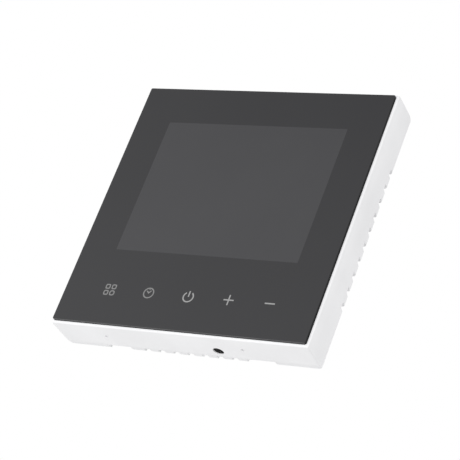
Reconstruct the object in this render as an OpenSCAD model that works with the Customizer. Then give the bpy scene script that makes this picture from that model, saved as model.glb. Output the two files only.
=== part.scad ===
// Wall thermostat. A glass touch panel clips over a steel mounting plate, and the
// power section sits in a box behind the plate, inside the wall box.
// X is to the right, Y goes into the wall and Z is up. The origin is the centre of
// the face that meets the wall. All lengths are in millimetres.

/* [Front body] */
// Width and height of the white front frame
front_w = 86; // [85.6:0.1:86.4]
// Distance from the wall to the face of the glass
front_depth = 13.5; // [13.4:0.1:13.8]
// How much the top and the bottom narrow towards the wall
draft = 0.4; // [0.3:0.1:0.8]
// How much the left and the right side narrow towards the wall
side_draft = 1.2; // [0.9:0.1:1.3]
// Radius of the corners of the frame and the glass
corner_r = 0.6; // [0.5:0.1:1]
// Thickness of the frame's side walls
wall = 1.8; // [1.6:0.1:1.9]
// Radius of the rounded front edge
edge_round = 0.7; // [0.5:0.1:0.7]

/* [Glass and display] */
// Width and height of the glass
glass_w = 84.3; // [83.6:0.1:84.4]
// Thickness of the glass
glass_t = 1.8; // [1.6:0.1:2]
// How far the glass stands in front of the frame's rim
glass_proud = 0.9; // [0.7:0.1:1.1]
// Width of the display cell
lcd_w = 65; // [64:0.5:66]
// Height of the display cell
lcd_h = 50; // [49:0.5:51]
// Height of the display's centre above the middle of the front
lcd_z = 6.2; // [5:0.1:6.5]
// Spacing of the five touch keys
key_pitch = 13.5; // [13:0.1:14]
// Height of the row of touch keys (below the middle)
key_z = -31; // [-31.5:0.1:-30]

/* [Openings in the frame] */
// Spacing of the vent notches in the left and right edges
side_vent_pitch = 5.06; // [5:0.02:5.2]
// Spacing of the vent notches in the top and bottom edges
end_vent_pitch = 4.92; // [4.8:0.02:5]
// Width of one vent notch
vent_w = 2; // [1.6:0.1:2.4]
// Depth of the vent notches in the left and right edges
side_vent_depth = 2.5; // [2:0.1:2.7]
// Depth of the vent notches in the top and bottom edges
end_vent_depth = 1.6; // [1.2:0.1:1.8]
// Place of the air hole for the temperature sensor along the bottom edge
sensor_x = 11; // [10:0.5:12]
// Place of the reset pinhole along the bottom edge
reset_x = -26; // [-26.5:0.5:-25.5]
// Place of the status light pinhole along the bottom edge
status_x = 19.9; // [19:0.1:20.5]

/* [Wall fixing] */
// Width and height of the steel mounting plate
plate_w = 79; // [78:0.5:79.5]
// Thickness of the mounting plate
plate_t = 1.2; // [1:0.1:1.2]
// Distance between the two wall screws
screw_spacing = 60; // [60:0.1:60.3]
// End to end length of each screw slot
slot_len = 8; // [7:0.5:8]
// Width of each screw slot
slot_w = 4.2; // [4:0.1:4.5]

/* [Rear box] */
// Width and height of the rear box
box_w = 48; // [47.5:0.1:48.5]
// Depth of the rear box behind the wall face
box_depth = 27; // [26.5:0.5:29]
// Radius of the rear box's corners
box_r = 9; // [8.5:0.5:9.5]

/* [Terminals] */
// Number of wire terminals
ways = 6; // [6:1:6]
// Spacing of the wire terminals
way_pitch = 5.08; // [5:0.02:5.1]

/* [Hidden] */
$fn = 48;
over = 1;                                   // how far a cut runs past a face
skin = 0.01;                                // thickness of the slices that a hull joins

// Layers of the front panel, from the glass back towards the wall
glass_y = -front_depth;                     // face of the glass
rim_y = glass_y + glass_proud;              // front rim of the frame
glass_back_y = glass_y + glass_t;
tape_t = 0.3;
shelf_y = glass_back_y + tape_t;            // shelf that carries the glass
shelf_t = 1.5;
shelf_back_y = shelf_y + shelf_t;
frame_back_y = -0.2;                        // the frame stops just short of the wall
rear_round = 4;                             // depth of the rounding next to the wall
early_share = 0.1;                          // share of the narrowing that comes before it
inner_draft = 0.4;                          // narrowing of the top and the bottom inside
board_t = 1.6;                              // thickness of both circuit boards
board_y = shelf_back_y + 3.5;               // front face of the front board
board_back_y = board_y + board_t;
front_board_w = 76;
board_screw_at = 35.2;                      // front board screws, out from the centre

// Display stack
lcd_x = 0.3;
lcd_t = 2.2;
lcd_y = glass_back_y + 0.1;
lcd_back_y = lcd_y + lcd_t;
window_gap = 0.5;                           // room round the display cell
guide_t = 2;
holder_wall = 1.6;
holder_floor = 0.8;
boss_front_r = 2.6;                         // screw bosses of the front board
flex_w = 24;
flex_t = 0.15;

// Touch keys
keys = 5;
spring_r = 3;
key_hole_r = 4.5;

// Bottom edge holes, measured from the wall
pinhole_y = -7.15;
pinhole_r = 0.5;
sensor_y = -5;
sensor_hole_r = 1.7;
pry_slot_x = 24.2;
pry_slot_w = 7.6;
pry_slot_depth = 1.8;
end_vent_shift = 2.4;                       // the end vents sit a little to the right
side_vent_shift = 0.4;                      // and the side vents a little low

// Snap fit between the frame and the plate
latch_x = 24.5;
latch_w = 6;
latch_t = 0.4;
ledge_w = 9;
ledge_front_y = -3.6;
ledge_t = 1.2;
ledge_in = 40.3;                            // inner face of the ledges, from the centre

// Rear box and power board
box_wall = 2;
boss_at = 17.5;                             // box screws, out from the centre
boss_r = 2.6;
boss_foot_r = 3.4;
power_y = 3.4;                              // front face of the power board
power_back_y = power_y + board_t;
power_w = 43.4;
power_screw_x = 18.9;
power_screw_z = 3;

// Pin connector between the boards
pins = 8;
pin_pitch = 2.54;
pin_w = 0.64;
pin_z = 14;
header_t = 2.5;
socket_y = -2.1;
pin_end_y = 2.6;

// Terminal block
block_w = ways * way_pitch + 1;
block_top_z = -13.5;
block_bottom_z = -box_w / 2;
block_back_y = 20.5;
cell_w = 3.9;
cage_w = 3.5;
cage_z0 = -21.4;
cage_z1 = -16.6;
cage_mid_z = (cage_z0 + cage_z1) / 2;
cage_y = 6;                                 // floor of the clamp, open
cage_floor = 0.8;
cage_top_y = 12.6;
cage_top_t = 1.2;
cage_side = 0.45;
bar_y = 10.9;
bar_t = 0.8;
bar_w = 2;
bar_pin_z = -12.8;                          // pins of the bars, through the power board
web_y = 16.5;                               // web that keeps the screw's head
web_t = 1.4;
head_seat_y = web_y + web_t + 0.1;
head_h = 1.8;
head_r = 1.8;
shank_r = 1.25;
shank_end_y = 12;

// Relay
relay_x0 = -14;
relay_len = 28;
relay_z0 = -10.2;
relay_wide = 12.5;
relay_y0 = 5.2;
relay_tall = 15.4;
relay_mid_z = relay_z0 + relay_wide / 2;
relay_wall = 0.8;
coil_x = -5.6;
coil_r = 4.3;
core_top_y = 16.4;
armature_y = 16.85;

// ---- Shapes that repeat ----

// Rectangle with round corners, centred
module rounded(w, h, r) {
    square([w - 2 * r, h], center = true);
    square([w, h - 2 * r], center = true);
    for (sx = [-1, 1], sz = [-1, 1])
        translate([sx * (w / 2 - r), sz * (h / 2 - r)]) circle(r);
}

// Extrudes an outline drawn in X and Z from y to y + t
module slab(y, t) {
    translate([0, y + t, 0]) rotate([90, 0, 0]) linear_extrude(t) children();
}

// Box between two corners
module block(low, high) {
    translate(low) cube(high - low);
}

// Cylinder along Y from y to y + h
module post(x, y, z, h, r) {
    translate([x, y, z]) rotate([-90, 0, 0]) cylinder(h = h, r = r);
}

// Round bar between two points
module rod(a, b, r) {
    d = b - a;
    turn = atan2(d[1], d[0]);
    tilt = atan2(norm([d[0], d[1]]), d[2]);
    translate(a) rotate([0, tilt, turn]) cylinder(h = norm(d), r = r, $fn = 24);
}

// Pan head screw along +Y, its head's underside at y = 0
module pan_screw(head_radius, head_height, radius, length) {
    difference() {
        union() {
            post(0, -head_height, 0, head_height, head_radius);
            post(0, 0, 0, length, radius);
        }
        for (turn = [0, 90]) rotate([0, turn, 0])
            block([-head_radius * 0.6, -head_height - over, -0.25],
                  [head_radius * 0.6, -head_height * 0.4, 0.25]);
    }
}

// Copies at the four corners of a square
module four_corners(out) {
    for (sx = [-1, 1], sz = [-1, 1]) translate([sx * out, 0, sz * out]) children();
}

// Copies at each touch key
module each_key() {
    for (i = [0 : keys - 1])
        translate([lcd_x + (i - (keys - 1) / 2) * key_pitch, 0, key_z]) children();
}

function way_x(i) = (i - (ways + 1) / 2) * way_pitch;

// ---- Front panel ----

// Thin slice of the frame at one depth
module frame_slice(y, w, h) {
    slab(y, skin) rounded(w, h, corner_r, $fn = 32);
}

// Outside of the frame: round at the front edge, narrowing, and round again next to the wall
module frame_form() {
    hull() {
        for (a = [0 : 30 : 90])
            frame_slice(rim_y + edge_round * (1 - cos(a)),
                        front_w - 2 * edge_round * (1 - sin(a)), front_w - 2 * edge_round * (1 - sin(a)));
        for (a = [0 : 30 : 90]) {
            share = early_share + (1 - early_share) * (1 - cos(a));
            frame_slice(frame_back_y - skin - rear_round * (1 - sin(a)),
                        front_w - 2 * side_draft * share, front_w - 2 * draft * share);
        }
    }
}

// Notches through one edge of the frame, along X at the bottom
module edge_vents(count, pitch, shift, depth) {
    for (i = [0 : count - 1])
        translate([shift + (i - (count - 1) / 2) * pitch, frame_back_y, -front_w / 2])
            block([-vent_w / 2, -depth, -over], [vent_w / 2, over, wall + side_draft + over]);
}

// Catch that a latch spring holds, on the bottom wall
module ledge(x) {
    block([x - ledge_w / 2, ledge_front_y, -ledge_in - 1.2],
          [x + ledge_w / 2, ledge_front_y + ledge_t, -ledge_in]);
}

module front_frame() {
    inner = front_w - 2 * wall;
    bottom = -front_w / 2;
    color("white") difference() {
        union() {
            difference() {
                frame_form();
                hull() {
                    frame_slice(shelf_back_y, inner, inner);
                    frame_slice(frame_back_y + over, inner - 2 * side_draft, inner - 2 * inner_draft);
                }
            }
            four_corners(board_screw_at)
                post(0, shelf_back_y - skin, 0, board_y - shelf_back_y + skin, boss_front_r);
            for (x = [-latch_x, latch_x], m = [0, 1]) mirror([0, 0, m]) ledge(x);
        }
        slab(rim_y - over, shelf_y - rim_y + over) rounded(glass_w + 0.2, glass_w + 0.2, corner_r);
        slab(shelf_y - over, shelf_t + 2 * over) translate([lcd_x, lcd_z])
            square([lcd_w + 2 * window_gap, lcd_h + 2 * window_gap], center = true);
        each_key() post(0, shelf_y - over, 0, shelf_t + 2 * over, key_hole_r);
        four_corners(board_screw_at) post(0, shelf_back_y + 0.3, 0, 10, 1);
        for (x = [reset_x, status_x])
            translate([x, pinhole_y, bottom - over]) cylinder(h = wall + 2 * over, r = pinhole_r);
        translate([sensor_x, sensor_y, bottom - over]) cylinder(h = wall + 2 * over, r = sensor_hole_r);
        for (m = [0, 1]) mirror([0, 0, m]) edge_vents(8, end_vent_pitch, end_vent_shift, end_vent_depth);
        for (side = [-1, 1]) rotate([0, -side * 90, 0])
            edge_vents(10, side_vent_pitch, -side * side_vent_shift, side_vent_depth);
        for (x = [-pry_slot_x, pry_slot_x])
            block([x - pry_slot_w / 2, frame_back_y - pry_slot_depth, bottom - over],
                  [x + pry_slot_w / 2, over, bottom + wall + over]);
    }
}

module glass_panel() {
    color("#46464a") slab(glass_y, glass_t) rounded(glass_w, glass_w, corner_r);
}

module glass_tape() {
    color("dimgray") slab(glass_back_y, tape_t) difference() {
        rounded(glass_w - 2, glass_w - 2, corner_r);
        translate([lcd_x, lcd_z]) square([lcd_w + 4, lcd_h + 4], center = true);
        translate([lcd_x, key_z]) square([4 * key_pitch + 2 * key_hole_r, 2 * key_hole_r], center = true);
    }
}

module lcd_cell() {
    color("#505052") slab(lcd_y, lcd_t) translate([lcd_x, lcd_z]) square([lcd_w, lcd_h], center = true);
}

module light_guide() {
    bond = 2;                               // strip left free for the flex at the bottom
    color("aliceblue") slab(lcd_back_y + 0.1, guide_t)
        translate([lcd_x, lcd_z + bond / 2]) square([lcd_w - 1, lcd_h - 1 - bond], center = true);
}

module lcd_holder() {
    outer_w = lcd_w + 2 * holder_wall + 0.8;
    outer_h = lcd_h + 2 * holder_wall + 0.8;
    front = shelf_back_y + 0.1;
    floor_y = board_y - holder_floor;
    color("whitesmoke") difference() {
        slab(front, board_y - front) translate([lcd_x, lcd_z]) square([outer_w, outer_h], center = true);
        slab(front - over, floor_y - front + over)
            translate([lcd_x, lcd_z]) square([lcd_w + 0.8, lcd_h + 0.8], center = true);
        block([lcd_x - flex_w / 2 - 0.5, front - over, lcd_z - outer_h / 2 - over],
              [lcd_x + flex_w / 2 + 0.5, lcd_back_y + 0.5, lcd_z - lcd_h / 2 + over]);
        four_corners(board_screw_at) post(0, front - over, 0, 2 * over + 4, boss_front_r + 0.3);
    }
}

// Ribbon from the bottom edge of the display, round the holder, onto the board
module lcd_flex() {
    bond_z = lcd_z - lcd_h / 2 + 1.6;
    fold_z = lcd_z - lcd_h / 2 - 3.4;
    land_z = fold_z - 4;
    x0 = lcd_x - flex_w / 2;
    x1 = lcd_x + flex_w / 2;
    color("#c8801e") {
        block([x0, lcd_back_y, fold_z], [x1, lcd_back_y + flex_t, bond_z]);
        block([x0, lcd_back_y + flex_t, fold_z], [x1, board_y - flex_t, fold_z + flex_t]);
        block([x0, board_y - flex_t, land_z], [x1, board_y, fold_z + flex_t]);
    }
}

module touch_springs() {
    color("gold") each_key() difference() {
        post(0, glass_back_y, 0, board_y - glass_back_y, spring_r);
        post(0, glass_back_y - over, 0, board_y - glass_back_y + 2 * over, spring_r - 0.6);
    }
}

module front_board() {
    color("darkgreen") slab(board_y, board_t) difference() {
        rounded(front_board_w, front_board_w, 2);
        for (sx = [-1, 1], sz = [-1, 1])
            translate([sx * board_screw_at, sz * board_screw_at]) circle(1.4);
    }
}

module controller_chip() {
    color("#202020") block([14, board_back_y, 20], [24, board_back_y + 1.4, 30]);
}

module wifi_module() {
    color("silver") {
        block([-37, board_back_y, 6], [-21, board_back_y + 0.8, 30]);
        block([-36, board_back_y + 0.8, 7], [-22, board_back_y + 2.8, 23]);
    }
}

module buzzer() {
    color("#202020") difference() {
        post(25, board_back_y, -12, 2.5, 5);
        post(25, board_back_y + 1.6, -12, 2, 1);
    }
}

// Side-acting switch, facing down towards the reset pinhole
module reset_switch() {
    color("silver") difference() {
        block([reset_x - 2.4, board_y - 1.6, -38.8], [reset_x + 2.4, board_y, -36.6]);
        block([reset_x - 1.2, board_y - 1.25, -38.8 - over], [reset_x + 1.2, board_y - 0.25, -37.4]);
    }
}

module reset_plunger() {
    color("#202020") block([reset_x - 0.9, board_y - 1.1, -39.8], [reset_x + 0.9, board_y - 0.4, -37.9]);
}

module status_led() {
    color("ivory") block([status_x - 1.5, board_y - 1.2, -38.6], [status_x + 1.5, board_y, -37.2]);
}

// Drop-shaped sensor lying along X in its air hole
module sensor_bead() {
    bead_r = 1.6;
    bead_z = -front_w / 2 + 0.15 + bead_r;
    tip = 3.3;
    color("#181818") translate([sensor_x - tip / 2 + bead_r, sensor_y, bead_z]) rotate([0, 90, 0])
        rotate_extrude() difference() {
            union() {
                circle(bead_r);
                polygon([[0, 0], [bead_r * 0.98, 0.2], [bead_r * 0.45, 1.2], [0, tip - bead_r]]);
            }
            translate([-2 * bead_r, -2 * bead_r]) square([2 * bead_r, 6 * bead_r]);
        }
}

// Two wires from the tip of the bead, behind the edge of the front board
module sensor_leads() {
    color("silver") for (side = [-1, 1])
        rod([sensor_x + 1.5, sensor_y + side * 0.35, -40.7], [sensor_x + 4.2 + side * 0.7, -4.1, -36.2], 0.2);
}

module pin_header() {
    long = pins * pin_pitch;
    color("#202020") difference() {
        block([-long / 2, board_back_y, pin_z - 1.25], [long / 2, board_back_y + header_t, pin_z + 1.25]);
        for (i = [0 : pins - 1])
            translate([(i - (pins - 1) / 2) * pin_pitch, board_back_y - over, pin_z])
                block([-pin_w / 2, 0, -pin_w / 2], [pin_w / 2, header_t + 2 * over, pin_w / 2]);
    }
}

module header_pins() {
    color("gold") for (i = [0 : pins - 1])
        translate([(i - (pins - 1) / 2) * pin_pitch, 0, pin_z])
            block([-pin_w / 2, board_back_y, -pin_w / 2], [pin_w / 2, pin_end_y, pin_w / 2]);
}

module front_board_screws() {
    color("silver") four_corners(board_screw_at) translate([0, board_back_y, 0]) mirror([0, 1, 0])
        pan_screw(2.2, 1.2, 0.95, 4.4);
}

// ---- Base ----

// Opening of the plate: a cross, so that each corner keeps its box screw
module cross_opening() {
    rounded(42, 29, 3);
    rounded(29, 42, 3);
}

module mounting_plate() {
    color("silver") slab(-plate_t, plate_t) difference() {
        rounded(plate_w, plate_w, 3);
        cross_opening();
        for (side = [-1, 1]) translate([side * screw_spacing / 2, 0]) {
            square([slot_len - slot_w, slot_w], center = true);
            for (end = [-1, 1]) translate([end * (slot_len - slot_w) / 2, 0]) circle(slot_w / 2);
        }
        for (sx = [-1, 1], sz = [-1, 1]) translate([sx * boss_at, sz * boss_at]) circle(1.4);
    }
}

// One leaf spring on the bottom edge of the plate
module latch_spring(x) {
    foot = -plate_t - latch_t;
    edge = plate_w / 2;
    color("lightsteelblue") translate([x + latch_w / 2, 0, 0]) rotate([90, 0, -90])
        linear_extrude(latch_w) polygon([
            [-foot, -edge + 5], [-foot, -edge + 0.7], [3.7, -edge + 0.3], [4.6, -edge - 0.8],
            [5.4, -edge + 0.3], [5.4 + latch_t, -edge + 0.3],
            [4.6 + 0.1, -edge - 1.3], [4.6 - 0.1, -edge - 1.3], [3.6, -edge - 0.1],
            [-foot - latch_t, -edge + 0.3], [-foot - latch_t, -edge + 5]
        ]);
}

module latch_springs() {
    for (x = [-latch_x, latch_x], m = [0, 1]) mirror([0, 0, m]) latch_spring(x);
}

// Space behind the terminals, where the box is stepped
module terminal_step(grow) {
    block([-block_w / 2 - 1 - grow, block_back_y - grow, -box_w / 2 - over],
          [block_w / 2 + 1 + grow, box_depth + over, block_top_z + 0.8 + grow]);
}

module rear_box() {
    back = box_depth - box_wall;
    color("gainsboro") difference() {
        union() {
            difference() {
                slab(0, box_depth) rounded(box_w, box_w, box_r);
                difference() {
                    slab(-over, back + over)
                        rounded(box_w - 2 * box_wall, box_w - 2 * box_wall, box_r - box_wall);
                    terminal_step(1.6);
                }
            }
            four_corners(boss_at) {
                post(0, 0, 0, box_depth - skin, boss_r);
                post(0, power_back_y, 0, box_depth - power_back_y - skin, boss_foot_r);
            }
            for (side = [-1, 1])
                post(side * power_screw_x, power_back_y, power_screw_z, back - power_back_y + 0.5, 2.2);
        }
        terminal_step(0);
        block([-block_w / 2 - 0.1, -over, block_bottom_z - over],
              [block_w / 2 + 0.1, block_back_y + over, block_top_z + 0.1]);
        four_corners(boss_at) post(0, -over, 0, 12, 1.2);
        for (side = [-1, 1]) post(side * power_screw_x, power_back_y - over, power_screw_z, 8, 1);
        for (i = [-3 : 3]) block([i * 4 - 0.9, back - over, 4], [i * 4 + 0.9, box_depth + over, 17]);
    }
}

module box_screws() {
    color("silver") four_corners(boss_at) translate([0, -plate_t, 0]) pan_screw(2.3, 1.4, 1.15, 10);
}

module power_board() {
    color("darkgreen") slab(power_y, board_t) difference() {
        rounded(power_w, power_w, box_r - box_wall);
        for (sx = [-1, 1], sz = [-1, 1]) translate([sx * boss_at, sz * boss_at]) circle(boss_r + 0.2);
        for (sx = [-1, 1]) translate([sx * power_screw_x, power_screw_z]) circle(1.1);
        for (i = [1 : ways]) translate([way_x(i), bar_pin_z]) square([1.2, 1], center = true);
    }
}

module power_board_screws() {
    color("silver") for (side = [-1, 1])
        translate([side * power_screw_x, power_y, power_screw_z]) pan_screw(1.9, 1.1, 0.95, 7);
}

module pin_socket() {
    long = pins * pin_pitch + 0.2;
    color("#202020") difference() {
        block([-long / 2, socket_y, pin_z - 1.3], [long / 2, power_y, pin_z + 1.3]);
        for (i = [0 : pins - 1])
            translate([(i - (pins - 1) / 2) * pin_pitch, 0, pin_z])
                block([-0.5, socket_y - over, -0.5], [0.5, power_y - 0.3, 0.5]);
    }
}

// Relay: base with the fixed contact, coil on its core, yoke, hinged armature, case
module relay_base() {
    color("#303030") block([relay_x0 + 1, relay_y0, relay_z0 + 1],
                           [relay_x0 + relay_len - 1, relay_y0 + 1.4, relay_z0 + relay_wide - 1]);
    color("goldenrod") {
        block([8.2, relay_y0 + 1.4, relay_mid_z - 1.8], [11.2, 14.9, relay_mid_z + 1.8]);
        post(9.7, 14.9, relay_mid_z, 0.5, 1.3);
    }
}

module relay_coil() {
    low = relay_y0 + 2.4;
    tall = core_top_y - 0.4 - low;
    color("#b5651d") difference() {
        union() {
            post(coil_x, low, relay_mid_z, tall, coil_r - 0.4);
            post(coil_x, low, relay_mid_z, 0.8, coil_r);
            post(coil_x, low + tall - 0.8, relay_mid_z, 0.8, coil_r);
        }
        post(coil_x, low - over, relay_mid_z, tall + 2 * over, 1.7);
    }
}

module relay_yoke() {
    foot = relay_y0 + 1.4;
    color("gray") {
        block([-12, foot, relay_mid_z - 4], [-2, foot + 1, relay_mid_z + 4]);
        block([-12, foot + 1, relay_mid_z - 4], [-11, core_top_y, relay_mid_z + 4]);
        post(coil_x, foot + 1, relay_mid_z, core_top_y - foot - 1, 1.6);
    }
}

module relay_armature() {
    color("gray") {
        block([-12.4, armature_y, relay_mid_z - 3.8], [-2.4, armature_y + 1, relay_mid_z + 3.8]);
        block([-2.4, armature_y + 0.6, relay_mid_z - 1.6], [11, armature_y + 0.9, relay_mid_z + 1.6]);
        post(9.7, armature_y - 0.2, relay_mid_z, 0.8, 1.3);
    }
}

module relay_case() {
    color("#1d3f7a") difference() {
        block([relay_x0, relay_y0, relay_z0],
              [relay_x0 + relay_len, relay_y0 + relay_tall, relay_z0 + relay_wide]);
        block([relay_x0 + relay_wall, relay_y0 - over, relay_z0 + relay_wall],
              [relay_x0 + relay_len - relay_wall, relay_y0 + relay_tall - relay_wall,
               relay_z0 + relay_wide - relay_wall]);
    }
}

// Ferrite core with three legs
module transformer_core() {
    color("#3a3a3c") difference() {
        block([-12.8, 7, 8], [0.2, 17, 14]);
        for (x = [-10.4, -4]) block([x, 9, 7], [x + 1.8, 15, 15]);
    }
}

// Ring of windings round the core's middle leg, on a base with the pins
module transformer_winding() {
    color("#d8b13a") difference() {
        block([-10.2, 9.2, 5], [-2.4, 14.8, 17]);
        block([-8.8, 8, 7.6], [-3.8, 16, 14.4]);
    }
    color("#202020") block([-11.5, power_back_y, 5.2], [-1.1, 6.9, 16.8]);
}

module smoothing_capacitor() {
    color("#26324a") post(5.4, power_back_y, 8.8, 12, 4);
}

module film_capacitor() {
    color("#c9a227") block([1.6, power_back_y, 14.2], [13.4, power_back_y + 10, 19.4]);
}

module varistor() {
    color("royalblue") translate([10.9, 10.8, 8.6]) rotate([0, 90, 0]) cylinder(h = 3.4, r = 4.4);
    color("silver") for (z = [6.4, 10.8]) post(12.6, power_back_y, z, 2.6, 0.4);
}

// Tube with a metal cap and a flat leg at each end
module fuse() {
    color("ivory") translate([-17.3, 7.4, -12]) cylinder(h = 10, r = 1.7);
    color("silver") for (z = [-12.4, -3.4]) {
        translate([-17.3, 7.4, z]) cylinder(h = 1.8, r = 1.9);
        block([-17.7, power_back_y, z + 0.6], [-16.9, 6.4, z + 1.2]);
    }
}

// ---- Terminals ----

module terminal_block() {
    half = block_w / 2;
    color("#1f6b3a") difference() {
        union() {
            block([-half, power_back_y, block_bottom_z], [half, block_back_y, block_top_z]);
            block([-half, 0.3, block_bottom_z], [half, power_back_y, -22.3]);
        }
        for (i = [1 : ways]) translate([way_x(i), 0, 0]) {
            block([-cell_w / 2, 5.7, cage_z0 - 0.3], [cell_w / 2, web_y, cage_z1 + 0.3]);
            block([-cell_w / 2 + 0.1, 6.9, block_bottom_z - over], [cell_w / 2 - 0.1, bar_y + 0.9, cage_z0]);
            block([-bar_w / 2 - 0.1, bar_y - 0.1, cage_z1],
                  [bar_w / 2 + 0.1, bar_y + bar_t + 0.1, block_top_z + over]);
            post(0, web_y - over, cage_mid_z, web_t + 2 * over, shank_r + 0.2);
            post(0, web_y + web_t, cage_mid_z, 5, head_r + 0.2);
        }
    }
}

module terminal_bars() {
    color("goldenrod") for (i = [1 : ways]) translate([way_x(i), 0, 0]) {
        block([-bar_w / 2, bar_y, -22.4], [bar_w / 2, bar_y + bar_t, bar_pin_z + 0.4]);
        block([-0.5, 3, bar_pin_z - 0.4], [0.5, bar_y, bar_pin_z + 0.4]);
    }
}

module terminal_screw(i) {
    color("silver") translate([way_x(i), 0, cage_mid_z]) difference() {
        union() {
            post(0, head_seat_y, 0, head_h, head_r);
            post(0, shank_end_y, 0, head_seat_y - shank_end_y, shank_r);
        }
        block([-over - head_r, head_seat_y + head_h - 0.9, -0.3],
              [over + head_r, head_seat_y + head_h + over, 0.3]);
    }
}

module terminal_clamp(i) {
    top = cage_top_y + cage_top_t;
    color("goldenrod") translate([way_x(i), 0, 0]) difference() {
        block([-cage_w / 2, cage_y, cage_z0], [cage_w / 2, top, cage_z1]);
        block([-cage_w / 2 + cage_side, cage_y + cage_floor, cage_z0 - over],
              [cage_w / 2 - cage_side, cage_top_y, cage_z1 + over]);
        post(0, cage_y + cage_floor, cage_mid_z, 12, shank_r + 0.05);
    }
}

front_frame();
glass_panel();
glass_tape();
lcd_cell();
light_guide();
lcd_holder();
lcd_flex();
touch_springs();
front_board();
controller_chip();
wifi_module();
buzzer();
reset_switch();
reset_plunger();
status_led();
sensor_bead();
sensor_leads();
pin_header();
header_pins();
front_board_screws();
mounting_plate();
latch_springs();
rear_box();
box_screws();
power_board();
power_board_screws();
pin_socket();
relay_base();
relay_coil();
relay_yoke();
relay_armature();
relay_case();
transformer_core();
transformer_winding();
smoothing_capacitor();
film_capacitor();
varistor();
fuse();
terminal_block();
terminal_bars();
terminal_screw(1);  // terminal_screw_1
terminal_screw(2);  // terminal_screw_2
terminal_screw(3);  // terminal_screw_3
terminal_screw(4);  // terminal_screw_4
terminal_screw(5);  // terminal_screw_5
terminal_screw(6);  // terminal_screw_6
terminal_clamp(1);  // terminal_clamp_1
terminal_clamp(2);  // terminal_clamp_2
terminal_clamp(3);  // terminal_clamp_3
terminal_clamp(4);  // terminal_clamp_4
terminal_clamp(5);  // terminal_clamp_5
terminal_clamp(6);  // terminal_clamp_6
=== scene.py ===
"""Wall thermostat: the shapes and finishes of each piece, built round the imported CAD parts.

Row frame: X to the right, Y into the wall, Z up, origin at the centre of the wall face.
Shapes are drawn in millimetres, and become metres when a piece is made.
"""
import math

import bmesh
import bpy
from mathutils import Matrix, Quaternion, Vector


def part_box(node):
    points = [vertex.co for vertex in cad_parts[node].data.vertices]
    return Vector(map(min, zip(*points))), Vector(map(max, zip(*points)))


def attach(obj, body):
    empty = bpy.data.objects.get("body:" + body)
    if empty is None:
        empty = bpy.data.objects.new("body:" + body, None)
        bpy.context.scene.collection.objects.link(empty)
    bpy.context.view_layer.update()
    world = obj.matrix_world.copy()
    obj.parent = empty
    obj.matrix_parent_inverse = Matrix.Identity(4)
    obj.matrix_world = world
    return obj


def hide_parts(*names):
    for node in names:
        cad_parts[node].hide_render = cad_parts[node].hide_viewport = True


MM = 0.001
PANEL, BASE = "front_panel", "base"
TERMINALS = range(1, 7)

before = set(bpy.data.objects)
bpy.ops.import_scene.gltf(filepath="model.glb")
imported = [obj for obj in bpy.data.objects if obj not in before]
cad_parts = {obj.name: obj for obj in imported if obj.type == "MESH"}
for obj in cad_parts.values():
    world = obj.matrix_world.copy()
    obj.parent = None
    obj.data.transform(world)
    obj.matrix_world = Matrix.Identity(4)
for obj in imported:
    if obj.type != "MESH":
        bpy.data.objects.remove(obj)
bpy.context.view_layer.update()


def span(node):
    """Lowest and highest corner of a CAD part, in millimetres."""
    low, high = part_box(node)
    return low / MM, high / MM


def middle(node):
    """Centre of a CAD part's box, in millimetres."""
    low, high = span(node)
    return (low + high) / 2


def spread(first, last, count):
    """Evenly spaced numbers from first to last."""
    return [first + (last - first) * i / (count - 1) for i in range(count)]


def place(name, data):
    """New object in the scene that shows the given data."""
    obj = bpy.data.objects.new(name, data)
    bpy.context.scene.collection.objects.link(obj)
    return obj


def connect(tree, kind, inputs=(), **settings):
    """Adds a shader node to a tree; each input is a socket to link or a value to set."""
    node = tree.nodes.new("ShaderNode" + kind)
    for key, value in settings.items():
        setattr(node, key, value)
    for key, value in dict(inputs).items():
        if isinstance(value, bpy.types.NodeSocket):
            tree.links.new(value, node.inputs[key])
        else:
            node.inputs[key].default_value = value
    return node


# ---- Studio ----

CAMERA_AIM = Vector((2.1, -9.0, -4.9)) * MM
CAMERA_DISTANCE = 0.6111
CAMERA_TURN, CAMERA_RISE, CAMERA_ROLL = 35.05, -27.04, 21.59
CAMERA_LENS, SENSOR, CAMERA_CLIP = 164.16, 36.0, (0.01, 20.0)
KEY_PLACE, KEY_SIZE, KEY_POWER = (-0.35, -1.2, -0.5), 0.6, 4.3
FLOOR_Z, FLOOR_SIZE = -0.75, 6.0


def add_camera():
    """Camera below and to the right of the thermostat, rolled about its own axis."""
    turn, rise = math.radians(CAMERA_TURN), math.radians(CAMERA_RISE)
    level = math.cos(rise)
    back = Vector((math.sin(turn) * level, -math.cos(turn) * level, math.sin(rise)))
    data = bpy.data.cameras.new("camera")
    data.lens, data.sensor_width = CAMERA_LENS, SENSOR
    data.clip_start, data.clip_end = CAMERA_CLIP
    camera = place("camera", data)
    camera.location = CAMERA_AIM + back * CAMERA_DISTANCE
    camera.rotation_mode = "QUATERNION"
    roll = Quaternion((0, 0, 1), math.radians(CAMERA_ROLL))
    camera.rotation_quaternion = (-back).to_track_quat("-Z", "Y") @ roll
    bpy.context.scene.camera = camera


def add_key_light():
    """Square soft light in front of the thermostat and below it, aimed at its centre."""
    data = bpy.data.lights.new("key", "AREA")
    data.shape, data.size, data.energy = "SQUARE", KEY_SIZE, KEY_POWER
    light = place("key", data)
    light.location = KEY_PLACE
    light.rotation_euler = (-Vector(KEY_PLACE)).to_track_quat("-Z", "Y").to_euler()


SKY_MEAN = 1.07  # strength of the light level with the object
SKY_SLOPE = (0.0, -0.05, 0.24)  # how it changes along each axis
SKY_CEILING = (0.34, 0.58, -0.50)  # heights between which the light falls, and by how much


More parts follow.
